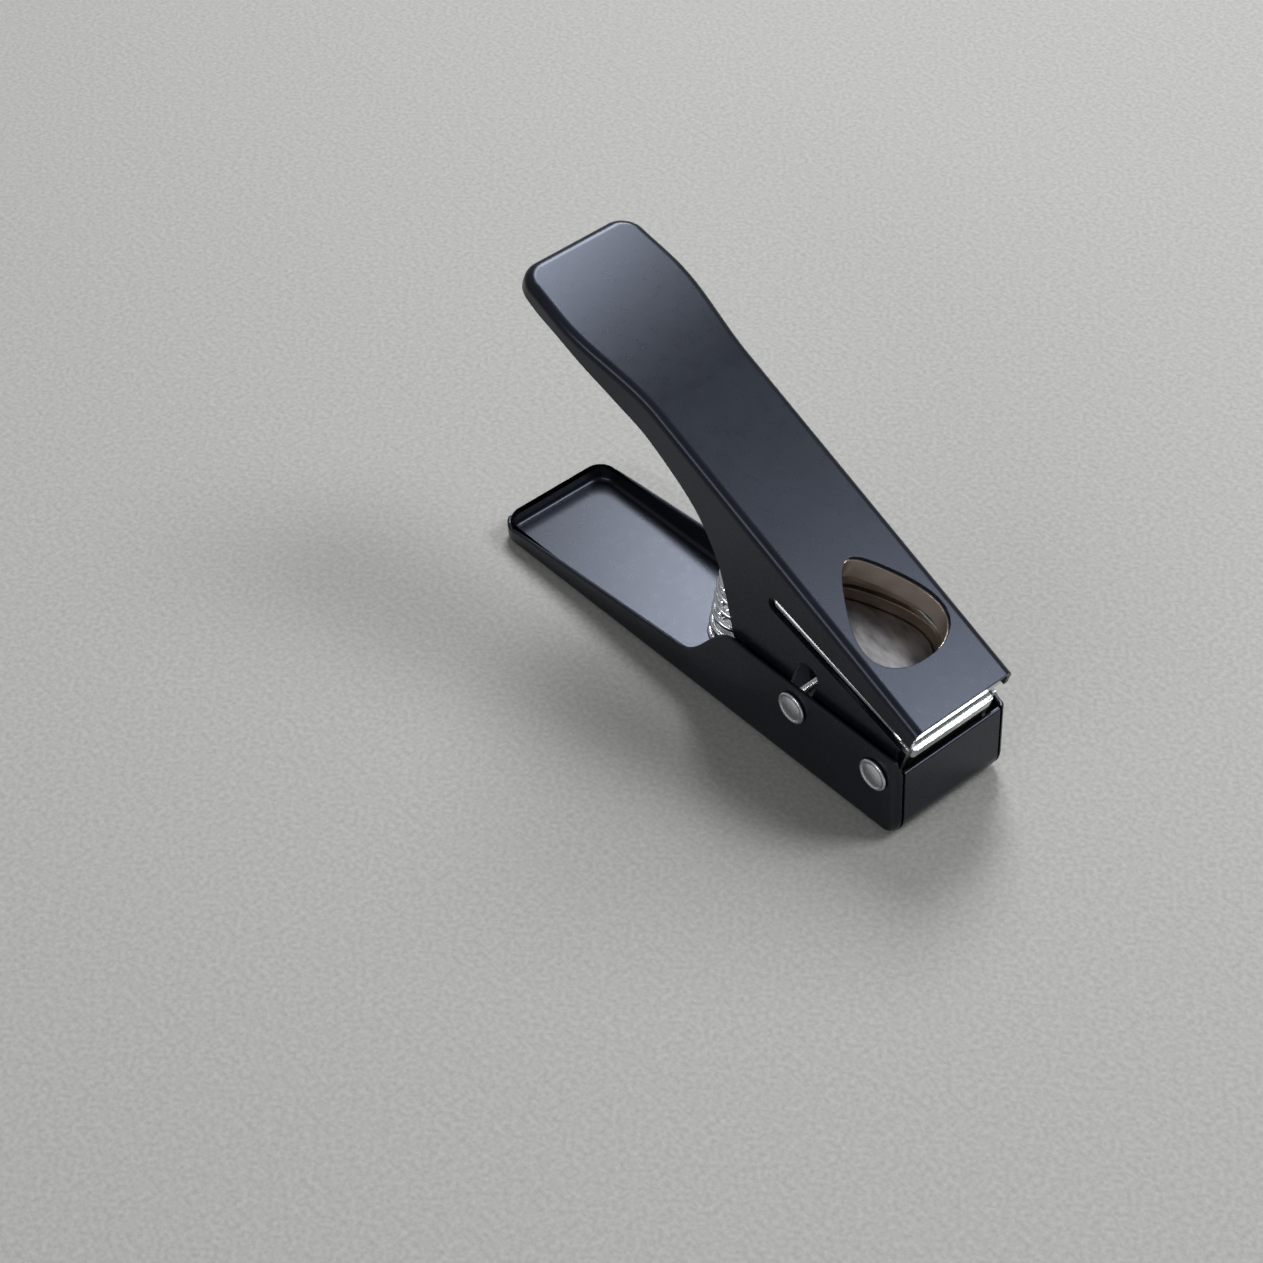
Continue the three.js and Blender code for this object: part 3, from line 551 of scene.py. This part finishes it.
def finish_piece(obj, body, slot, nodes, place=None):
    """Moves a piece into the part's frame in metres, shades it and ties it to its body."""
    obj.data.transform(Matrix.Scale(MM, 4) @ (place or Matrix.Identity(4)))
    mark_sharp(obj)
    modifier = obj.modifiers.new("normals", "WEIGHTED_NORMAL")
    modifier.keep_sharp = True
    bake(obj)
    dress(obj, slot)
    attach(obj, body)
    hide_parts(*nodes)


def mark_sharp(obj):
    """Cleans a piece in metres and keeps its sharper edges sharp in smooth shading."""
    work = bmesh.new()
    work.from_mesh(obj.data)
    bmesh.ops.remove_doubles(work, verts=work.verts, dist=WELD * MM)
    bmesh.ops.dissolve_degenerate(work, edges=work.edges, dist=THIN * MM)
    for face in work.faces:
        face.smooth = True
    for edge in work.edges:
        edge.smooth = len(edge.link_faces) == 2 and edge.calc_face_angle(math.pi) < SHARP_ANGLE
    work.to_mesh(obj.data)
    work.free()


# Outlines

def arc(x, y, radius, start, end, steps):
    angles = [start + (end - start) * k / steps for k in range(steps + 1)]
    return [(x + radius * math.cos(a), y + radius * math.sin(a)) for a in angles]


def round_bar(name, x, z, radius, half):
    outline = arc(x, z, radius, 0, math.tau, ROUND_STEPS)[:-1]
    return prism(name, outline, -half, half)


def through_points(points, steps):
    """A smooth curve through points, with steps between each two."""
    curve = []
    last = len(points) - 1
    for i in range(last):
        around = [points[max(i - 1, 0)], points[i], points[i + 1], points[min(i + 2, last)]]
        for k in range(steps):
            curve.append(tuple(curve_value([p[d] for p in around], k / steps) for d in (0, 1)))
    return curve + [points[last]]


def curve_value(values, t):
    a, b, c, d = values
    start, end = (c - a) / 2, (d - b) / 2
    cubic = (2 * b - 2 * c + start + end) * t ** 3
    return cubic + (3 * c - 3 * b - 2 * start - end) * t ** 2 + start * t + b


def smooth(value, low, high):
    share = min(max((value - low) / (high - low), 0), 1)
    return share * share * (3 - 2 * share)


def pick_outline(front):
    """The pick with its tip to the rear."""
    first, second, third = PICK_SHARES
    half = PICK_STEPS // 2
    shares = [(1 - math.cos(math.pi * k / half)) / 2 for k in range(half + 1)]
    heights = [math.sqrt(u * (1 - u) * (first + second * u + third * u * u)) for u in shares]
    peak = max(heights)
    upper = [(front - WINDOW_LENGTH * (1 - u), WINDOW_WIDTH / 2 * h / peak) for u, h in zip(shares, heights)]
    return upper + [(x, -y) for x, y in reversed(upper[1:-1])]


def bend_inset(radius, height):
    below = max(radius - height, 0)
    return radius - math.sqrt(max(radius ** 2 - below ** 2, 0))


# Base

def base_column_kinds():
    """Places round one side of the base from the front's middle to the rear's middle."""
    front = [("front", k / EDGE_STEPS) for k in range(EDGE_STEPS)]
    corner = [("front_corner", k / CORNER_STEPS) for k in range(CORNER_STEPS)]
    wall = [("wall", k / WALL_STEPS) for k in range(WALL_STEPS)]
    rear_corner = [("rear_corner", k / CORNER_STEPS) for k in range(CORNER_STEPS)]
    rear = [("rear", k / EDGE_STEPS) for k in range(EDGE_STEPS + 1)]
    return front + corner + wall + rear_corner + rear


def base_column(kind, share, inset, height):
    """Where a place round the base lies in plan, at a height on the outer or inner face."""
    ahead = bend_inset(FRONT_BEND - inset, height - inset)
    aside = bend_inset(BEND_RADIUS - inset, height - inset)
    front_x, front_y = BASE_FRONT - FRONT_CORNER - ahead, BASE_HALF - FRONT_CORNER - aside
    front_radius = FRONT_CORNER - inset
    rear_x, rear_y = TRAY_CORNER - BASE_FRONT, BASE_HALF - TRAY_CORNER
    rear_radius = TRAY_CORNER - inset - aside
    if kind == "front":
        return front_x + front_radius, front_y * share
    if kind == "front_corner":
        angle = QUARTER * share
        return front_x + front_radius * math.cos(angle), front_y + front_radius * math.sin(angle)
    if kind == "wall":
        start, end = front_x, rear_x
        step_start = TRAY_LENGTH - BASE_FRONT
        crest_end = step_start + STEP_LENGTH + CREST_LENGTH + OVERRUN
        knots = [(0, start), (CREST_SHARE, crest_end), (STEP_SHARE, step_start - OVERRUN), (1, end)]
        for (a, xa), (b, xb) in zip(knots, knots[1:]):
            if share <= b:
                return xa + (xb - xa) * (share - a) / (b - a), BASE_HALF - inset - aside
    if kind == "rear_corner":
        angle = QUARTER * (1 + share)
        return rear_x + rear_radius * math.cos(angle), rear_y + rear_radius * math.sin(angle)
    return rear_x - rear_radius, rear_y * (1 - share)


def wall_top(kind, share, x, far):
    """Height of the wall's top at a place round the base."""
    if kind == "front":
        return END_WALL_HEIGHT
    step_start = TRAY_LENGTH - BASE_FRONT
    if x <= step_start:
        rise = (TRAY_RIM_HEIGHT - TRAY_END_HEIGHT) / (step_start + BASE_FRONT)
        top = TRAY_END_HEIGHT + rise * (x + BASE_FRONT)
    elif x <= step_start + STEP_LENGTH:
        top = step_height((x - step_start) / STEP_LENGTH)
    else:
        along = min((x - step_start - STEP_LENGTH) / CREST_LENGTH, 1)
        top = WALL_HEIGHT + CREST_RISE * (1 - along)
    if kind == "rear_corner":
        ear = math.sin(math.pi * min(max((share - CORNER_EAR_START) / CORNER_EAR_SPAN, 0), 1))
        dips = sum(math.exp(-((share - place) / CORNER_DIP_WIDTH) ** 2) for place in CORNER_DIP_PLACES)
        top += CORNER_EAR_RISE * smooth(ear, 0, CORNER_EAR_FLANK) - CORNER_DIP_DROP * dips
    start, end = FAR_FALL if far else NEAR_FALL
    fallen = min(max((x - BASE_FRONT + start) / (start - end), 0), 1)
    return top + (END_WALL_HEIGHT - WALL_HEIGHT) * fallen if x > step_start + STEP_LENGTH else top


def step_height(share):
    """Height of the S-shaped step, a cubic with flat ends."""
    tall = WALL_HEIGHT + CREST_RISE
    return TRAY_RIM_HEIGHT + (tall - TRAY_RIM_HEIGHT) * share ** 2 * (3 - 2 * share)


def bend_rises(bends):
    """Heights of the rows of points over the bends of the base's floor into its walls."""
    drops = [1 - math.cos(QUARTER * k / BEND_STEPS) for k in range(BEND_STEPS + 1)]
    return sorted({round(radius * drop, RISE_DIGITS) for radius in bends for drop in drops})


def base_shell():
    columns = base_column_kinds()
    rises = bend_rises([BEND_RADIUS, FRONT_BEND])
    inner_rises = bend_rises([BEND_RADIUS - SHEET, FRONT_BEND - SHEET])
    edge = RIM_RADIUS
    rows = [[] for _ in range(len(rises) + len(inner_rises) + 2 * (RIM_STEPS + 1))]
    for far in (False, True):
        side = columns if not far else list(reversed(columns))
        for kind, share in side:
            x, _ = base_column(kind, share, 0, WALL_HEIGHT)
            top = wall_top(kind, share, x, far)
            sign = 1 if far else -1
            column = []
            for rise in rises:
                px, py = base_column(kind, share, 0, min(rise, top - edge))
                column.append((px, sign * py, min(rise, top - edge)))
            for k in range(RIM_STEPS + 1):
                angle = QUARTER * k / RIM_STEPS
                px, py = base_column(kind, share, edge * (1 - math.cos(angle)), WALL_HEIGHT)
                column.append((px, sign * py, top - edge + edge * math.sin(angle)))
            for k in range(RIM_STEPS + 1):
                angle = QUARTER * (1 - k / RIM_STEPS)
                px, py = base_column(kind, share, SHEET - edge * (1 - math.cos(angle)), WALL_HEIGHT)
                column.append((px, sign * py, top - edge + edge * math.sin(angle)))
            for rise in reversed(inner_rises):
                px, py = base_column(kind, share, SHEET, SHEET + rise)
                column.append((px, sign * py, SHEET + rise))
            for row, point in zip(rows, column):
                row.append(point)
    obj = ring_solid("base_shell_fine", rows)
    for name, (x, z) in (("pivot_hole", PIVOT), ("drive_hole", DRIVE)):
        carve(obj, round_bar(name, x, z, HOLE_RADIUS, BASE_HALF * 2))
    low, high = SEAM_OFFSET - SEAM_WIDTH / 2, SEAM_OFFSET + SEAM_WIDTH / 2
    tall = WALL_HEIGHT + OVERRUN
    seam = [(BASE_FRONT - FRONT_BEND, SEAM_FOOT), (BASE_FRONT + OVERRUN, SEAM_FOOT)]
    seam += [(BASE_FRONT + OVERRUN, tall), (BASE_FRONT - FRONT_BEND, tall)]
    carve(obj, prism("near_seam", seam, -high, -low))
    carve(obj, prism("far_seam", seam, low, high))
    finish_piece(obj, "base", "black_paint", ["base_shell"])


# Lever

def paddle_widening(behind):
    gain = PADDLE_GAIN * smooth(behind, PADDLE_START, PADDLE_PEAK)
    return gain - PADDLE_LOSS * smooth(behind, PADDLE_PEAK, PADDLE_END)


def paddle_drop(behind):
    """How far the paddle falls, with a trim that keeps it inside the model's box."""
    share = max(0, (behind - PADDLE_START) / (LEVER_LENGTH - PADDLE_START))
    return PADDLE_DROOP * share ** DROOP_POWER + PADDLE_TRIM * smooth(share, 0, PADDLE_TRIM_SHARE)


def lever_side(inset):
    side = [(PLATE_FORWARD + OVERRUN, LEVER_HALF - inset)]
    corner = LEVER_LENGTH - PADDLE_CORNER
    for k in range(PADDLE_STEPS):
        behind = PADDLE_START + (corner - PADDLE_START) * k / PADDLE_STEPS
        side.append((PLATE_FORWARD - behind, LEVER_HALF + paddle_widening(behind) - inset))
    corner_y = LEVER_HALF + paddle_widening(corner) - PADDLE_CORNER
    return side + arc(PLATE_FORWARD - corner, corner_y, PADDLE_CORNER - inset, QUARTER, math.pi, CORNER_STEPS)


def lever_form(name, inset, radius, bottom):
    """The lever as a solid with a rounded top, moved in by an inset."""
    rings = []
    for k in range(BEND_STEPS + 1):
        angle = QUARTER * k / BEND_STEPS
        extra, drop = radius * (1 - math.sin(angle)), radius * (1 - math.cos(angle))
        side = lever_side(inset + extra)
        raised = [(x, y, PLATE_RISE - inset - paddle_drop(PLATE_FORWARD - x) - drop) for x, y in side]
        rings.append(mirrored(raised))
    rings.append(mirrored([(x, y, bottom) for x, y in lever_side(inset)]))
    return ring_solid(name, rings)


def mirrored(side):
    return [(x, -y, z) for x, y, z in side] + [(x, y, z) for x, y, z in reversed(side)]


def strip_tilt():
    return math.atan2(STRIP_REAR - STRIP_FRONT, STRIP_LENGTH)


def meeting(p, d, q, e):
    """Where the line from p along d meets the line from q along e."""
    share = ((q[0] - p[0]) * e[1] - (q[1] - p[1]) * e[0]) / (d[0] * e[1] - d[1] * e[0])
    return p[0] + d[0] * share, p[1] + d[1] * share


def lever_profile():
    """Side view of the lever: flange edge, heel, ear round the pivot and leaning front edge."""
    ear_top = (EAR_RADIUS * math.cos(LEVER_ANGLE), EAR_RADIUS * math.sin(LEVER_ANGLE))
    front_edge = (math.sin(strip_tilt()), math.cos(strip_tilt()))
    upright = (-math.sin(LEVER_ANGLE), math.cos(LEVER_ANGLE))
    knee = meeting((PLATE_FORWARD, PLATE_RISE), front_edge, ear_top, upright)
    heel = (PLATE_FORWARD - HEEL_FRONT, PLATE_RISE - HEEL_DEPTH)
    away = math.hypot(*heel)
    tangent = math.atan2(-heel[1], -heel[0]) - math.asin(EAR_RADIUS / away) - QUARTER
    shares = [
        (PLATE_FORWARD - x * LEVER_LENGTH, PLATE_RISE - z * FLANGE_DEPTH) for x, z in FLANGE_EDGE_SHARES
    ]
    outline = [(shares[0][0], PLATE_RISE + OVERRUN)] + through_points(shares, FLANGE_STEPS)
    outline += [(PLATE_FORWARD - HEEL_REAR, heel[1]), heel]
    outline += arc(0, 0, EAR_RADIUS, tangent, LEVER_ANGLE, EAR_STEPS)
    mouth_x, mouth_z = (
        PLATE_FORWARD - front_edge[0] * STRIP_FRONT,
        PLATE_RISE - front_edge[1] * STRIP_FRONT,
    )
    nose = PLATE_FORWARD - NOSE_SETBACK
    leaning = nose + (PLATE_RISE - mouth_z) * math.tan(DIE_TILT)
    return outline + [
        knee, (mouth_x, mouth_z), (leaning, mouth_z), (nose, PLATE_RISE), (nose, PLATE_RISE + OVERRUN),
    ]


def strip_slot():
    front, rear = STRIP_FRONT_HEIGHT / 2, STRIP_REAR_HEIGHT / 2
    outline = [(OVERRUN, front), (-STRIP_LENGTH, rear)]
    outline += arc(-STRIP_LENGTH, 0, rear, QUARTER, QUARTER * 3, STRIP_STEPS)[1:] + [(OVERRUN, -front)]
    obj = prism("strip_slot", outline, -LEVER_HALF * 2, LEVER_HALF * 2)
    move = Matrix.Translation((PLATE_FORWARD, 0, PLATE_RISE - STRIP_FRONT))
    obj.data.transform(move @ Matrix.Rotation(-strip_tilt(), 4, "Y"))
    return obj


def arc_slot():
    """Curved slot round the pivot that lets the flanges pass the drive rivet."""
    reach = math.hypot(DRIVE[0] - PIVOT[0], DRIVE[1] - PIVOT[1])
    at = math.atan2(DRIVE[1] - PIVOT[1], DRIVE[0] - PIVOT[0]) + LEVER_ANGLE
    half = PIN_RADIUS + ARC_CLEARANCE
    shift = (ARC_CLEARANCE - FIT_GAP) / reach
    start, end = at - shift, at - TRAVEL - shift / 2
    start_place = (reach * math.cos(start), reach * math.sin(start))
    end_place = (reach * math.cos(end), reach * math.sin(end))
    outline = arc(0, 0, reach + half, end, start, ARC_STEPS)
    outline += arc(*start_place, half, start, start + math.pi, ARC_STEPS)[1:]
    outline += arc(0, 0, reach - half, start, end, ARC_STEPS)[1:]
    outline += arc(*end_place, half, end + math.pi, end + math.tau, ARC_STEPS)[1:-1]
    return prism("arc_slot", outline, -LEVER_HALF * 2, LEVER_HALF * 2)


def lever_shell():
    bottom = PLATE_RISE - HEEL_DEPTH - OVERRUN
    obj = lever_form("lever_shell_fine", 0, BEND_RADIUS, bottom)
    carve(obj, lever_form("lever_inside", SHEET, BEND_RADIUS - SHEET, bottom - OVERRUN))
    carve(obj, prism("lever_side_view", lever_profile(), -LEVER_HALF * 2, LEVER_HALF * 2), "INTERSECT")
    carve(obj, strip_slot())
    carve(obj, arc_slot())
    carve(obj, round_bar("lever_hole", 0, 0, HOLE_RADIUS, LEVER_HALF * 2))
    pick = pick_outline(PLATE_FORWARD - WINDOW_SETBACK)
    carve(obj, prism("window", pick, PLATE_RISE - SHEET * 2, PLATE_RISE + OVERRUN, "Z"))
    place = Matrix.Translation((PIVOT[0], 0, PIVOT[1])) @ Matrix.Rotation(LEVER_ANGLE, 4, "Y")
    finish_piece(obj, "lever", "black_paint", ["lever_shell"], place)


# Rivets

def rivet(name, node, x, z):
    half = [(radius, RIVET_SEAT + height) for radius, height in RIVET_PROFILE]
    profile = [(radius, -y) for radius, y in reversed(half)] + half
    points, rings = [], []
    for radius, y in profile:
        ring = []
        for k in range(ROUND_STEPS if radius else 1):
            angle = math.tau * k / ROUND_STEPS
            ring.append(len(points))
            points.append((x + radius * math.cos(angle), y, z + radius * math.sin(angle)))
        rings.append(ring)
    faces = []
    for low, high in zip(rings, rings[1:]):
        for k in range(ROUND_STEPS):
            after = (k + 1) % ROUND_STEPS
            corners = [low[k % len(low)], low[after % len(low)], high[after % len(high)], high[k % len(high)]]
            faces.append(tuple(dict.fromkeys(corners)))
    finish_piece(mesh_object(name, points, faces), "base", "rivet_metal", [node])


# Return spring

def spring_path():
    """The spring's middle line, bent a little, with its length and its two ends."""
    foot_height = SHEET + FIT_GAP + WIRE_RADIUS
    foot = Vector((BASE_FRONT - SPRING_FOOT_SETBACK, foot_height))
    x, z = PLATE_FORWARD - SPRING_TOP_SETBACK, PLATE_RISE - foot_height
    top = Vector((
        PIVOT[0] + x * math.cos(LEVER_ANGLE) + z * math.sin(LEVER_ANGLE),
        PIVOT[1] - x * math.sin(LEVER_ANGLE) + z * math.cos(LEVER_ANGLE),
    ))
    chord = top - foot
    lean = math.atan2(chord.x, chord.y)
    arc_radius = chord.length / 2 / math.sin(SPRING_BEND)

    def at(share):
        turn = SPRING_BEND * (share * 2 - 1)
        along = arc_radius * (math.sin(turn) + math.sin(SPRING_BEND))
        aside = arc_radius * (math.cos(SPRING_BEND) - math.cos(turn))
        x = foot.x + along * math.sin(lean) + aside * math.cos(lean)
        z = foot.y + along * math.cos(lean) - aside * math.sin(lean)
        return x, z, LEVER_ANGLE * share ** SPRING_TILT_POWER

    return at, arc_radius * SPRING_BEND * 2, foot, top


def coil_point(path, length, turns):
    """Middle of the wire after a number of turns, and the way out from the spring's middle line."""
    middle = (length - END_PITCH * 2) / (SPRING_TURNS - 2)
    body = min(max(turns - 1, 0), SPRING_TURNS - 2)
    ends = min(turns, 1) + max(turns - SPRING_TURNS + 1, 0)
    x, z, tilt = path((body * middle + ends * END_PITCH) / length)
    angle = (SPRING_START_TURNS - turns) * math.tau
    outward = Vector((math.cos(angle) * math.cos(tilt), math.sin(angle), -math.cos(angle) * math.sin(tilt)))
    return Vector((x, 0, z)) + outward * SPRING_RADIUS, outward


def spring(name, node):
    path, length, foot, top = spring_path()
    total = SPRING_TURNS * COIL_STEPS
    points = []
    for i in range(total + 1):
        centre, outward = coil_point(path, length, i / COIL_STEPS)
        before, _ = coil_point(path, length, max(i - 1, 0) / COIL_STEPS)
        after, _ = coil_point(path, length, min(i + 1, total) / COIL_STEPS)
        along = (after - before).normalized()
        side = along.cross(outward).normalized()
        radial = side.cross(along)
        for k in range(WIRE_SIDES):
            angle = math.tau * k / WIRE_SIDES
            point = centre + (radial * math.cos(angle) + side * math.sin(angle)) * WIRE_RADIUS
            points.append(point)
    faces = strip_faces(total + 1, WIRE_SIDES)
    faces += [tuple(range(WIRE_SIDES)), tuple(range(total * WIRE_SIDES, (total + 1) * WIRE_SIDES))]
    obj = mesh_object(name, points, faces)
    obj.data.transform(Matrix.Scale(MM, 4))
    mark_sharp(obj)
    dress(obj, "spring_wire")
    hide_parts(node)
    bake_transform(obj)


# Stage

def floor_material():
    nodes = Nodes("floor", color=FLOOR_COLOR, roughness=0.9)
    dark = tuple(c * (1 - FLOOR_CONTRAST) for c in FLOOR_COLOR)
    light = tuple(c * (1 + FLOOR_CONTRAST) for c in FLOOR_COLOR)
    nodes.patches((dark, light), scale=750, detail=6)
    nodes.bump(nodes.noise(scale=900, detail=5), distance=0.3 * MM, strength=0.5)
    return nodes.material


def floor():
    half = FLOOR_HALF
    mesh = bpy.data.meshes.new("floor")
    corners = [(-half, -half, 0), (half, -half, 0), (half, half, 0), (-half, half, 0)]
    mesh.from_pydata(corners, [], [(0, 1, 2, 3)])
    obj = bpy.data.objects.new("floor", mesh)
    bpy.context.scene.collection.objects.link(obj)
    obj.data.materials.append(floor_material())


def area_light(name, place, size, power, color):
    light = bpy.data.lights.new(name, "AREA")
    light.shape = "RECTANGLE"
    light.size, light.size_y = size
    light.energy = power
    light.color = color
    obj = bpy.data.objects.new(name, light)
    obj.location = place
    aim = Vector(LIGHT_TARGET) - Vector(place)
    obj.rotation_euler = aim.to_track_quat("-Z", "Y").to_euler()
    bpy.context.scene.collection.objects.link(obj)


def world():
    studio = bpy.data.worlds.new("studio")
    bpy.context.scene.world = studio
    studio.use_nodes = True
    background = studio.node_tree.nodes["Background"]
    background.inputs["Color"].default_value = WORLD_COLOR
    background.inputs["Strength"].default_value = WORLD_STRENGTH


def camera():
    roll = math.radians(CAMERA_ROLL)
    right, up, back = (Vector(v) for v in (CAMERA_RIGHT, CAMERA_UP, CAMERA_BACK))
    turned_right = right * math.cos(roll) + up * math.sin(roll)
    turned_up = up * math.cos(roll) - right * math.sin(roll)
    data = bpy.data.cameras.new("camera")
    data.sensor_width = SENSOR
    data.lens = LENS
    data.clip_start = CLIP_START
    obj = bpy.data.objects.new("camera", data)
    turn = Matrix((turned_right, turned_up, back)).transposed()
    obj.matrix_world = Matrix.Translation(CAMERA_PLACE) @ turn.to_4x4()
    bpy.context.scene.collection.objects.link(obj)
    bpy.context.scene.camera = obj


base_shell()
lever_shell()
rivet("pivot_rivet_fine", "pivot_rivet", *PIVOT)
rivet("drive_rivet_fine", "drive_rivet", *DRIVE)
spring("return_spring_fine", "return_spring")

floor()
world()
camera()
for row in LIGHTS:
    area_light(*row)

bpy.context.scene.view_settings.view_transform = "Standard"
